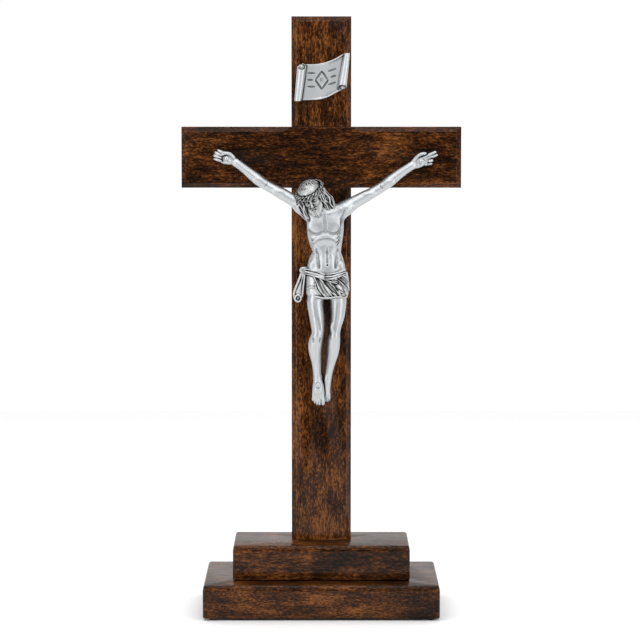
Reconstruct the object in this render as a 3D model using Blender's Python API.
"""Standing crucifix: two half-lapped bars on a two-step base, with a cast metal figure and scroll.

Metres, +Z up. The front faces -Y. The origin is on the table, under the middle of the base.
"""

import math

import bmesh
import bpy
from mathutils import Matrix, Vector

MM = 0.001
GAP = 0.3 * MM  # room between two pieces that touch on the real object

# Whole object
TOTAL_HEIGHT = 304.8 * MM

# Base
FELT_THICKNESS = 0.8 * MM
FELT_INSET = 3.0 * MM
LOWER_STEP = Vector((120.0, 73.0, 16.8)) * MM
UPPER_STEP = Vector((90.3, 45.5, 17.8)) * MM
EASE_IN = 1.2 * MM  # the steps' top edge is a quarter ellipse, this far in
EASE_DOWN = 3.3 * MM  # and this far down
STEP_CORNER = 1.5 * MM
ARRIS = 0.4 * MM

# Cross
POST_WIDTH = 30.5 * MM
BAR_LENGTH = 143.0 * MM
BAR_HEIGHT = 31.1 * MM
BAR_CENTRE_Z = 233.1 * MM
CROSS_FRONT_Y = -3.0 * MM
CROSS_THICKNESS = 10.5 * MM
CHAMFER = 2.4 * MM
BIT_RADIUS = 4.0 * MM  # the chamfering bit's pilot, which sets the shape of the run-outs
RUN_OUT_CLEAR = 0.6 * MM  # from a run-out's tip to the other bar

# Fasteners
SCREW_CORE = 1.5 * MM
SCREW_CREST = 2.1 * MM
SCREW_HEAD_RADIUS = 4.0 * MM
SCREW_PITCH = 2.0 * MM
POST_SCREW_SPREAD = 8.0 * MM
POST_SCREW_GRIP = 20.0 * MM
STEP_SCREW_SPREAD = 34.0 * MM
STEP_SCREW_GRIP = 11.0 * MM
NAIL_RADIUS = 0.6 * MM
NAIL_HEAD_RADIUS = 1.1 * MM
NAIL_LENGTH = 11.0 * MM

# Scroll
SCROLL_LEFT_X = -13.2 * MM
SCROLL_RIGHT_X = 13.2 * MM
SCROLL_BOTTOM_Z = 262.0 * MM
SCROLL_HEIGHT = 18.2 * MM
SCROLL_RISE = 6.0 * MM  # the right end sits this much higher than the left
SCROLL_SHEET = 0.8 * MM
SCROLL_CURL_RADIUS = 1.7 * MM
SCROLL_Y = -4.6 * MM
SCROLL_WAVE = 0.5 * MM

# Where each board lies
LOWER_STEP_Z = FELT_THICKNESS + GAP
UPPER_STEP_Z = LOWER_STEP_Z + LOWER_STEP.z + GAP
POST_Z = UPPER_STEP_Z + UPPER_STEP.z + GAP
BAR_BOTTOM_Z = BAR_CENTRE_Z - BAR_HEIGHT / 2
BAR_TOP_Z = BAR_CENTRE_Z + BAR_HEIGHT / 2
CROSS_BACK_Y = CROSS_FRONT_Y + CROSS_THICKNESS
CROSS_MIDDLE_Y = (CROSS_FRONT_Y + CROSS_BACK_Y) / 2
FIGURE_BACK_Y = CROSS_FRONT_Y - GAP


# ---------------------------------------------------------------- helpers


def clear_scene():
    for item in list(bpy.data.objects):
        bpy.data.objects.remove(item, do_unlink=True)


def make_material(name, colour, metallic, roughness):
    material = bpy.data.materials.new(name)
    material.use_nodes = True
    shader = material.node_tree.nodes["Principled BSDF"]
    shader.inputs["Base Color"].default_value = (*colour, 1.0)
    shader.inputs["Metallic"].default_value = metallic
    shader.inputs["Roughness"].default_value = roughness
    material.diffuse_color = (*colour, 1.0)
    return material


def add_object(name, bm, material=None):
    """Turns a bmesh into an object; without a material it is a cutter."""
    bmesh.ops.recalc_face_normals(bm, faces=bm.faces)
    mesh = bpy.data.meshes.new(name)
    bm.to_mesh(mesh)
    bm.free()
    item = bpy.data.objects.new(name, mesh)
    bpy.context.scene.collection.objects.link(item)
    if material is None:
        item.hide_render = True
        item.display_type = "WIRE"
    else:
        mesh.materials.append(material)
    return item


def cut(target, cutter, operation="DIFFERENCE"):
    modifier = target.modifiers.new(cutter.name, "BOOLEAN")
    modifier.operation = operation
    modifier.object = cutter


def loft(rings):
    """A closed solid through rings that have the same number of points."""
    bm = bmesh.new()
    loops = [[bm.verts.new(point) for point in ring] for ring in rings]
    count = len(loops[0])
    for low, high in zip(loops, loops[1:]):
        for i in range(count):
            j = (i + 1) % count
            bm.faces.new((low[i], low[j], high[j], high[i]))
    bm.faces.new(loops[0])
    bm.faces.new(loops[-1])
    return bm


def circle(radius, z, count):
    turns = (2 * math.pi * i / count for i in range(count))
    return [Vector((radius * math.cos(a), radius * math.sin(a), z)) for a in turns]


def turned(profile, count=16):
    """A turned solid on the Z axis, from (radius, z) pairs."""
    return loft([circle(radius, z, count) for radius, z in profile])


def box(low, high):
    low, high = Vector(low), Vector(high)
    bm = bmesh.new()
    place = Matrix.Translation((low + high) / 2) @ Matrix.Diagonal((*(high - low), 1))
    bmesh.ops.create_cube(bm, size=1, matrix=place)
    return bm


def rounded_rectangle(width, depth, radius, z, count=4):
    """Points of a rectangle with round corners, centred on the Z axis."""
    points = []
    for quarter, (sx, sy) in enumerate(((1, 1), (-1, 1), (-1, -1), (1, -1))):
        centre = Vector((sx * (width / 2 - radius), sy * (depth / 2 - radius), z))
        for i in range(count + 1):
            angle = (quarter + i / count) * math.pi / 2
            points.append(centre + radius * Vector((math.cos(angle), math.sin(angle), 0)))
    return points


# ---------------------------------------------------------------- base


def step_board(name, size, bottom_z, material):
    """A board with round corners in plan and a quarter-ellipse top edge."""
    width, depth, height = size
    levels = [(ARRIS, 0.0), (0.0, ARRIS)]
    for i in range(7):
        angle = i / 6 * math.pi / 2
        inset = EASE_IN * (1 - math.cos(angle))
        levels.append((inset, height - EASE_DOWN * (1 - math.sin(angle))))
    rings = [
        rounded_rectangle(
            width - 2 * inset,
            depth - 2 * inset,
            STEP_CORNER - inset / 2,
            bottom_z + level,
        )
        for inset, level in levels
    ]
    return add_object(name, loft(rings), material)


def felt_pad(material):
    width = LOWER_STEP.x - 2 * FELT_INSET
    depth = LOWER_STEP.y - 2 * FELT_INSET
    rings = [
        rounded_rectangle(width, depth, STEP_CORNER, 0.0),
        rounded_rectangle(width, depth, STEP_CORNER, FELT_THICKNESS),
    ]
    return add_object("felt_pad", loft(rings), material)


# ---------------------------------------------------------------- cross


def chamfer_pass(name, start, end, outward):
    """The space a 45 degree bit clears as its pilot runs along an arris, from start to end.

    start, end and outward are (x, z); outward points away from the wood, square to the arris.
    The pass ends in the bit's own round run-out.
    """
    start, end, outward = Vector(start), Vector(end), Vector(outward)
    along = (end - start).normalized()
    over = 1.0 * MM
    half_count = 10
    rings = []
    for depth in (-over, CHAMFER + over):
        radius = BIT_RADIUS + CHAMFER - depth
        ring = []
        for centre, heading in ((end, along), (start, -along)):
            centre = centre + outward * BIT_RADIUS
            side = Vector((heading.y, -heading.x))
            for i in range(half_count + 1):
                angle = math.pi * (i / half_count - 0.5)
                reach = heading * math.cos(angle) + side * math.sin(angle)
                point = centre + reach * radius
                ring.append(Vector((point.x, CROSS_FRONT_Y + depth, point.y)))
        rings.append(ring)
    return add_object(name, loft(rings))


def run_out():
    """How far a chamfer's tip lies past the middle of the bit."""
    return math.sqrt((BIT_RADIUS + CHAMFER) ** 2 - BIT_RADIUS**2)


def ease_back(item):
    """Softens the long arrises that carry no chamfer."""
    modifier = item.modifiers.new("arris", "BEVEL")
    modifier.width = ARRIS
    modifier.segments = 1
    modifier.limit_method = "WEIGHT"
    mesh = item.data
    weights = mesh.attributes.new("bevel_weight_edge", "FLOAT", "EDGE")
    for edge in mesh.edges:
        ends = [mesh.vertices[i].co for i in edge.vertices]
        if all(abs(end.y - CROSS_BACK_Y) < MM * 0.01 for end in ends):
            weights.data[edge.index].value = 1.0


def upright_post(material):
    half = POST_WIDTH / 2
    bm = box((-half, CROSS_FRONT_Y, POST_Z), (half, CROSS_BACK_Y, TOTAL_HEIGHT))
    post = add_object("upright_post", bm, material)
    ease_back(post)
    over = BIT_RADIUS + CHAMFER + MM
    low_stop = BAR_BOTTOM_Z - RUN_OUT_CLEAR - run_out()
    high_stop = BAR_TOP_Z + RUN_OUT_CLEAR + run_out()
    for side, label in ((-1, "left"), (1, "right")):
        x = side * half
        runs = (("low", POST_Z - over, low_stop), ("high", high_stop, TOTAL_HEIGHT + over))
        for level, z0, z1 in runs:
            cut(post, chamfer_pass(f"post_chamfer_{level}_{label}", (x, z0), (x, z1), (side, 0)))
    left_end, right_end = (-half - over, TOTAL_HEIGHT), (half + over, TOTAL_HEIGHT)
    cut(post, chamfer_pass("post_chamfer_top", left_end, right_end, (0, 1)))
    lap = box(
        (-half - MM, CROSS_FRONT_Y - MM, BAR_BOTTOM_Z - GAP),
        (half + MM, CROSS_MIDDLE_Y + GAP / 2, BAR_TOP_Z + GAP),
    )
    cut(post, add_object("post_lap", lap))
    return post


def crossbar(material):
    half = BAR_LENGTH / 2
    bm = box((-half, CROSS_FRONT_Y, BAR_BOTTOM_Z), (half, CROSS_BACK_Y, BAR_TOP_Z))
    bar = add_object("crossbar", bm, material)
    ease_back(bar)
    over = BIT_RADIUS + CHAMFER + MM
    stop = POST_WIDTH / 2 + RUN_OUT_CLEAR + run_out()
    for side, label in ((-1, "left"), (1, "right")):
        for z, up, level in ((BAR_BOTTOM_Z, -1, "bottom"), (BAR_TOP_Z, 1, "top")):
            run = chamfer_pass(
                f"bar_chamfer_{level}_{label}",
                (side * stop, z),
                (side * (half + over), z),
                (0, up),
            )
            cut(bar, run)
        end = chamfer_pass(
            f"bar_chamfer_end_{label}",
            (side * half, BAR_BOTTOM_Z - over),
            (side * half, BAR_TOP_Z + over),
            (side, 0),
        )
        cut(bar, end)
    reach = POST_WIDTH / 2 + GAP
    lap = box(
        (-reach, CROSS_MIDDLE_Y - GAP / 2, BAR_BOTTOM_Z - MM),
        (reach, CROSS_BACK_Y + MM, BAR_TOP_Z + MM),
    )
    cut(bar, add_object("bar_lap", lap))
    return bar


# ---------------------------------------------------------------- fasteners


def wood_screw(name, x, head_z, length, grip, material):
    """A countersunk screw that points up: plain shank, then grip of helical thread to a point."""
    count = 10
    head_height = SCREW_HEAD_RADIUS - SCREW_CORE
    rings = [
        circle(SCREW_HEAD_RADIUS - 0.2 * MM, 0.0, count),
        circle(SCREW_HEAD_RADIUS, 0.3 * MM, count),
        circle(SCREW_CORE, 0.3 * MM + head_height, count),
    ]
    thread_start = length - grip
    rows_per_turn = 3
    rows = int((grip - 3 * MM) / SCREW_PITCH * rows_per_turn)
    for row in range(rows + 1):
        z = thread_start + row * SCREW_PITCH / rows_per_turn
        ring = []
        for point in circle(1.0, z, count):
            phase = row / rows_per_turn - math.atan2(point.y, point.x) / (2 * math.pi)
            crest = 0.5 + 0.5 * math.cos(2 * math.pi * phase)
            fade = min(1.0, row / 2, (rows - row) / 2)
            radius = SCREW_CORE + (SCREW_CREST - SCREW_CORE) * crest * fade
            ring.append(Vector((point.x * radius, point.y * radius, z)))
        rings.append(ring)
    rings.append(circle(0.3 * MM, length, count))
    screw = add_object(name, loft(rings), material)
    screw.location = (x, CROSS_MIDDLE_Y, head_z)

    slot_width, slot_length, slot_depth = 1.0 * MM, 4.4 * MM, 1.3 * MM
    for axis, label in ((0, "a"), (1, "b")):
        half = Vector((slot_width / 2, slot_width / 2, 0))
        half[axis] = slot_length / 2
        blade = box(-half - Vector((0, 0, MM)), half + Vector((0, 0, slot_depth)))
        drive = add_object(f"{name}_drive_{label}", blade)
        drive.location = screw.location
        cut(screw, drive)
    return screw


def screw_hole(name, x, head_z, length):
    """The countersunk, stepped hole that a wood_screw of this length lies in."""
    clear = SCREW_CREST + GAP
    sink = SCREW_HEAD_RADIUS + GAP
    profile = [
        (sink, -0.6 * MM - UPPER_STEP_Z),
        (sink, 0.3 * MM + GAP),
        (clear, 0.3 * MM + sink - clear),
        (clear, length + GAP),
    ]
    hole = add_object(name, turned(profile))
    hole.location = (x, CROSS_MIDDLE_Y, head_z)
    return hole


def nail(name, seat, material, head_radius=NAIL_HEAD_RADIUS, length=NAIL_LENGTH):
    """A domed-head nail driven along +Y, its head's underside at seat."""
    dome = [(head_radius * math.cos(a), 0.35 * MM + 0.5 * head_radius * math.sin(a))
            for a in (math.radians(d) for d in (0, 25, 50, 75))]
    tip = [(0.15 * MM, -length), (NAIL_RADIUS, -length + 1.5 * MM)]
    shoulder = [(NAIL_RADIUS, 0.0), (head_radius, 0.0)]
    item = add_object(name, turned(tip + shoulder + dome, count=12), material)
    item.location = seat
    item.rotation_euler = (math.pi / 2, 0, 0)
    return item


def nail_hole(name, seat, depth, head_radius=NAIL_HEAD_RADIUS):
    """A clear hole for the shank, with a seat for the head that is open to the front."""
    shank, head = NAIL_RADIUS + GAP, head_radius + GAP
    profile = [(shank, -depth), (shank, -GAP), (head, -GAP), (head, 12 * MM)]
    hole = add_object(name, turned(profile, count=12))
    hole.location = seat
    hole.rotation_euler = (math.pi / 2, 0, 0)
    return hole


# ---------------------------------------------------------------- scroll


def scroll_path():
    """The sheet's middle line seen from above: a curl, a waved run and a curl, both curls forwards."""
    count = 20
    points = []
    for i in range(count + 1):
        t = i / count
        x = SCROLL_LEFT_X + t * (SCROLL_RIGHT_X - SCROLL_LEFT_X)
        points.append(Vector((x, SCROLL_Y - SCROLL_WAVE * math.sin(2 * math.pi * t))))

    def curl(side):
        steps = 10
        edge = points[0] if side < 0 else points[-1]
        centre = edge - Vector((0, SCROLL_CURL_RADIUS))
        arc = []
        for i in range(1, steps + 1):
            angle = math.pi / 2 - 1.6 * math.pi * i / steps
            radius = SCROLL_CURL_RADIUS * (1 - 0.3 * i / steps)
            arc.append(centre + radius * Vector((side * math.cos(angle), math.sin(angle))))
        return arc

    return curl(-1)[::-1] + points + curl(1)


def scroll_lift(x):
    """How much higher the sheet sits at x than at its left end."""
    t = (x - SCROLL_LEFT_X) / (SCROLL_RIGHT_X - SCROLL_LEFT_X)
    t = min(1.0, max(0.0, (t - 0.35) / 0.65))
    return SCROLL_RISE * t * t * (3 - 2 * t)


def title_scroll(material):
    path = scroll_path()
    outline_front, outline_back = [], []
    for i, point in enumerate(path):
        ahead, behind = path[min(i + 1, len(path) - 1)], path[max(i - 1, 0)]
        heading = (ahead - behind).normalized()
        normal = Vector((heading.y, -heading.x)) * SCROLL_SHEET / 2
        outline_front.append(point + normal)
        outline_back.append(point - normal)
    outline = outline_front + outline_back[::-1]
    low = [Vector((p.x, p.y, SCROLL_BOTTOM_Z + scroll_lift(p.x))) for p in outline]
    high = [p + Vector((0, 0, SCROLL_HEIGHT)) for p in low]
    scroll = add_object("title_scroll", loft([low, high]), material)
    for x, label in ((-6 * MM, "left"), (7 * MM, "right")):
        pin = turned([(0.75 * MM, 0), (0.75 * MM, 8 * MM)], count=12)
        post = add_object(f"scroll_post_{label}", pin)
        post.location = scroll_post_place(x)
        post.rotation_euler = (-math.pi / 2, 0, 0)
        cut(scroll, post, "UNION")
    return scroll


def scroll_post_place(x):
    t = (x - SCROLL_LEFT_X) / (SCROLL_RIGHT_X - SCROLL_LEFT_X)
    y = SCROLL_Y - SCROLL_WAVE * math.sin(2 * math.pi * t)
    return Vector((x, y, SCROLL_BOTTOM_Z + scroll_lift(x) + SCROLL_HEIGHT / 2))


def scroll_post_hole(name, x):
    hole = add_object(name, turned([(1.05 * MM, -2 * MM), (1.05 * MM, 8 * MM + GAP)], count=12))
    hole.location = scroll_post_place(x)
    hole.rotation_euler = (-math.pi / 2, 0, 0)
    return hole


# ---------------------------------------------------------------- figure
# Stations run along a limb: x, y, z of its middle, then its half width and half depth, in millimetres.

TRUNK = (
    (0.6, -9.0, 208.5, 3.2, 3.2),
    (1.4, -8.6, 204.5, 8.2, 4.8),
    (2.0, -8.8, 198.5, 9.3, 6.0),
    (2.2, -8.6, 192.5, 8.9, 5.9),
    (2.7, -8.0, 186.0, 7.3, 4.9),
    (2.9, -7.8, 181.5, 7.6, 4.7),
    (2.4, -7.9, 175.5, 9.6, 5.4),
    (2.4, -8.2, 168.0, 10.4, 5.9),
)
LEFT_ARM = (
    (-4.0, -8.6, 203.0, 4.2, 4.4),
    (-10.5, -8.4, 208.6, 3.9, 3.8),
    (-19.5, -7.8, 214.6, 3.0, 3.1),
    (-27.6, -7.2, 218.9, 2.6, 2.7),
    (-33.0, -6.9, 222.2, 3.0, 2.8),
    (-39.5, -6.3, 227.6, 2.3, 2.2),
    (-43.0, -6.0, 230.3, 2.2, 1.9),
)
RIGHT_ARM = (
    (6.5, -8.6, 203.0, 4.2, 4.4),
    (12.0, -8.4, 208.0, 3.9, 3.8),
    (21.0, -7.8, 212.9, 3.0, 3.1),
    (30.8, -7.2, 218.2, 2.6, 2.7),
    (36.0, -6.9, 222.0, 3.0, 2.8),
    (42.5, -6.3, 226.8, 2.3, 2.2),
    (46.5, -6.0, 229.4, 2.2, 1.9),
)
LEFT_HAND = (
    (-43.0, -6.0, 230.3, 2.2, 1.9),
    (-47.0, -5.9, 232.4, 3.2, 2.2),
    (-51.0, -6.3, 234.0, 3.4, 2.7),
    (-54.6, -6.0, 234.6, 2.2, 2.2),
)
RIGHT_HAND = (
    (46.5, -6.0, 229.4, 2.2, 1.9),
    (49.6, -5.8, 231.0, 3.1, 2.1),
    (52.6, -6.0, 232.2, 2.9, 2.4),
)
RIGHT_FINGERS = ((52.0, -6.0, 232.3, 2.2, 1.7), (59.0, -5.9, 234.8, 1.5, 1.1))
RIGHT_CURLED = ((51.8, -6.4, 231.0, 2.0, 1.8), (54.2, -6.8, 230.6, 1.3, 1.4))
LEFT_LEG = (
    (-2.0, -8.6, 170.0, 5.0, 4.9),
    (-2.9, -9.6, 160.8, 4.4, 4.6),
    (-2.6, -11.0, 150.0, 3.9, 4.0),
    (-2.3, -11.6, 144.5, 3.8, 3.7),
    (-3.0, -9.9, 138.5, 3.5, 3.7),
    (-3.0, -8.9, 132.0, 3.2, 3.5),
    (-2.4, -8.8, 120.5, 2.3, 2.5),
)
RIGHT_LEG = (
    (7.2, -8.6, 170.0, 5.0, 4.9),
    (8.1, -9.3, 160.8, 4.4, 4.5),
    (7.3, -10.4, 150.0, 3.7, 3.9),
    (7.0, -10.8, 144.5, 3.3, 3.5),
    (6.4, -9.2, 138.5, 3.3, 3.5),
    (5.6, -7.8, 132.0, 3.1, 3.3),
    (3.2, -6.8, 121.5, 2.3, 2.3),
)
LEFT_FOOT = (
    (-2.4, -8.6, 121.0, 2.3, 2.6),
    (-1.9, -9.9, 116.5, 2.8, 2.1),
    (-1.3, -9.2, 110.5, 3.2, 1.6),
    (-1.1, -8.4, 107.0, 2.6, 1.2),
)
RIGHT_FOOT = (
    (3.2, -6.6, 122.0, 2.3, 2.4),
    (1.4, -6.4, 116.0, 2.7, 1.9),
    (1.4, -6.2, 112.0, 3.0, 1.7),
    (2.0, -5.6, 109.4, 2.2, 1.3),
)
CLOTH = (
    (2.6, -8.5, 176.8, 9.4, 4.8),
    (2.9, -8.6, 174.5, 10.6, 6.0),
    (3.2, -8.7, 170.0, 11.0, 6.6),
    (3.2, -8.9, 165.5, 10.9, 6.6),
    (3.0, -9.0, 162.3, 9.6, 5.8),
)
CLOTH_TAIL = (
    (-8.0, -8.4, 176.4, 2.2, 2.6),
    (-9.6, -7.8, 172.0, 1.7, 1.7),
    (-11.2, -7.2, 166.0, 2.5, 1.5),
    (-11.8, -7.0, 161.2, 2.5, 1.8),
)
HEAD = (
    (-2.6, -13.6, 206.3, 3.2, 3.4),
    (-3.6, -13.4, 210.6, 5.0, 5.0),
    (-4.8, -12.6, 215.4, 6.2, 6.2),
    (-6.0, -11.8, 219.6, 5.0, 5.2),
)
BEARD = ((-3.4, -15.8, 209.0, 3.0, 2.0), (-3.0, -16.2, 205.4, 1.8, 1.6))
NOSE = ((-5.2, -17.8, 213.4, 0.8, 0.9), (-5.0, -18.6, 210.6, 1.0, 1.1))
LEFT_HAIR = (
    (-9.0, -11.2, 216.5, 2.6, 4.0),
    (-9.0, -11.6, 210.5, 3.2, 3.6),
    (-7.0, -12.0, 203.4, 2.0, 2.2),
)
RIGHT_HAIR = (
    (0.6, -11.4, 217.5, 2.6, 3.8),
    (4.2, -11.0, 212.0, 2.6, 3.0),
    (6.6, -10.4, 207.0, 1.9, 2.0),
)
LIMBS = (
    TRUNK, LEFT_ARM, RIGHT_ARM, LEFT_HAND, RIGHT_HAND, RIGHT_FINGERS, RIGHT_CURLED, LEFT_LEG,
    RIGHT_LEG, LEFT_FOOT, RIGHT_FOOT, CLOTH, CLOTH_TAIL, HEAD, BEARD, NOSE, LEFT_HAIR, RIGHT_HAIR,
)
CROWN_MIDDLE = Vector((-5.2, -12.3, 216.8)) * MM
CROWN_TILT = math.radians(33)
CROWN_HALF = (7.0 * MM, 6.7 * MM)
CROWN_TUBE = 1.1 * MM
NAIL_SEATS = {
    "left_hand_nail": Vector((-48.2, -8.3, 232.8)) * MM,
    "right_hand_nail": Vector((51.0, -8.1, 231.3)) * MM,
    "foot_nail": Vector((-1.7, -12.1, 117.1)) * MM,
}
FOOT_NAIL_LENGTH = 15.0 * MM
FOOT_NAIL_HEAD = 1.3 * MM


def between(stations, steps=4):
    """The stations with a Catmull-Rom curve's points added between them."""
    values = [Vector(station[:3]).to_4d() for station in stations]
    sizes = [Vector(station[3:]).to_4d() for station in stations]
    last = len(stations) - 1
    found = []
    for i in range(last):
        for step in range(steps):
            t = step / steps
            station = []
            for rows, width in ((values, 3), (sizes, 2)):
                a, b, c, d = (rows[min(max(k, 0), last)] for k in (i - 1, i, i + 1, i + 2))
                bend = (2 * a - 5 * b + 4 * c - d) * t**2 + (3 * b - a - 3 * c + d) * t**3
                station += (b + ((c - a) * t + bend) / 2)[:width]
            found.append(station)
    found.append(stations[-1])
    return found


def limb(bm, stations):
    """A closed tube of elliptical sections, with domed ends."""
    stations = between(stations)
    middles = [Vector(station[:3]) * MM for station in stations]
    halves = [Vector(station[3:]) * MM for station in stations]
    count = 18
    loops = []
    last = len(stations) - 1
    for i, (middle, half) in enumerate(zip(middles, halves)):
        heading = (middles[min(i + 1, last)] - middles[max(i - 1, 0)]).normalized()
        across = heading.cross(Vector((0, 1, 0))).normalized()
        forward = across.cross(heading)
        caps = [(0.0, 1.0)]
        if i == 0:
            caps = [(-0.75, 0.5), (-0.45, 0.85), (0.0, 1.0)]
        if i == last:
            caps = [(0.0, 1.0), (0.45, 0.85), (0.75, 0.5)]
        for shift, scale in caps:
            centre = middle + heading * shift * half.y
            ring = []
            for k in range(count):
                angle = 2 * math.pi * k / count
                offset = across * math.cos(angle) * half.x + forward * math.sin(angle) * half.y
                ring.append(bm.verts.new(centre + offset * scale))
            loops.append(ring)
    for low, high in zip(loops, loops[1:]):
        for k in range(count):
            j = (k + 1) % count
            bm.faces.new((low[k], low[j], high[j], high[k]))
    bm.faces.new(loops[0][::-1])
    bm.faces.new(loops[-1])


def crown_stations():
    """The crown of thorns as a ring of stations, tilted with the head."""
    stations = []
    steps = 17
    for i in range(steps + 1):
        angle = 2 * math.pi * i / (steps - 1)
        across, forward = CROWN_HALF[0] * math.cos(angle), CROWN_HALF[1] * math.sin(angle)
        point = CROWN_MIDDLE + Vector((
            across * math.cos(CROWN_TILT),
            forward,
            across * math.sin(CROWN_TILT) - forward * math.sin(-0.25),
        ))
        tube = CROWN_TUBE / MM
        stations.append((*(point / MM), tube, tube))
    return stations


def corpus(material):
    """The cast figure: limbs fused to one skin, flat at the back, with holes for its three nails."""
    bm = bmesh.new()
    for stations in LIMBS:
        limb(bm, stations)
    limb(bm, crown_stations())
    figure = add_object("corpus", bm, material)

    fuse = figure.modifiers.new("fuse", "REMESH")
    fuse.mode = "VOXEL"
    fuse.voxel_size = 0.5 * MM
    smooth = figure.modifiers.new("soften", "SMOOTH")
    smooth.factor = 0.5
    smooth.iterations = 4
    thin = figure.modifiers.new("thin", "DECIMATE")
    thin.ratio = 0.055

    reach = 150 * MM
    back = box((-reach, FIGURE_BACK_Y, 0), (reach, FIGURE_BACK_Y + 20 * MM, 2 * reach))
    cut(figure, add_object("figure_back", back))
    for name, seat in NAIL_SEATS.items():
        head = FOOT_NAIL_HEAD if name == "foot_nail" else NAIL_HEAD_RADIUS
        cut(figure, nail_hole(f"{name}_hole_in_figure", seat, 12 * MM, head))
    return figure


# ---------------------------------------------------------------- assembly


def main():
    clear_scene()
    walnut = (0.075, 0.028, 0.011)
    pewter = (0.62, 0.63, 0.65)
    steel = (0.45, 0.44, 0.42)
    felt = (0.012, 0.011, 0.011)

    felt_pad(make_material("felt", felt, 0.0, 0.95))
    lower_wood = make_material("lower_step_wood", walnut, 0, 0.3)
    lower = step_board("base_lower_step", LOWER_STEP, LOWER_STEP_Z, lower_wood)
    upper_wood = make_material("upper_step_wood", walnut, 0, 0.3)
    upper = step_board("base_upper_step", UPPER_STEP, UPPER_STEP_Z, upper_wood)
    post = upright_post(make_material("post_wood", walnut, 0, 0.3))
    bar = crossbar(make_material("bar_wood", walnut, 0, 0.3))
    corpus(make_material("corpus_pewter", pewter, 1.0, 0.35))
    title_scroll(make_material("scroll_pewter", pewter, 1.0, 0.35))

    head_z = LOWER_STEP_Z + 0.3 * MM
    post_length = POST_Z + POST_SCREW_GRIP - head_z
    step_length = UPPER_STEP_Z + STEP_SCREW_GRIP - head_z
    kinds = (
        ("upright_screw", POST_SCREW_SPREAD, post_length, POST_SCREW_GRIP, (lower, upper, post)),
        ("step_screw", STEP_SCREW_SPREAD, step_length, STEP_SCREW_GRIP, (lower, upper)),
    )
    for kind, spread, length, grip, boards in kinds:
        for side, label in ((-1, "left"), (1, "right")):
            name = f"{kind}_{label}"
            screw_steel = make_material(f"{name}_steel", steel, 1.0, 0.4)
            wood_screw(name, side * spread, head_z, length, grip, screw_steel)
            for board in boards:
                cut(board, screw_hole(f"{name}_hole_in_{board.name}", side * spread, head_z, length))

    for name, seat in NAIL_SEATS.items():
        foot = name == "foot_nail"
        head = FOOT_NAIL_HEAD if foot else NAIL_HEAD_RADIUS
        length = FOOT_NAIL_LENGTH if foot else NAIL_LENGTH
        nail(name, seat, make_material(f"{name}_steel", steel, 1.0, 0.4), head, length)
        hole = nail_hole(f"{name}_hole_in_wood", seat, length + GAP, NAIL_RADIUS)
        cut(post if foot else bar, hole)

    for label, x in (("left", -6 * MM), ("right", 7 * MM)):
        cut(post, scroll_post_hole(f"scroll_post_hole_{label}", x))


main()
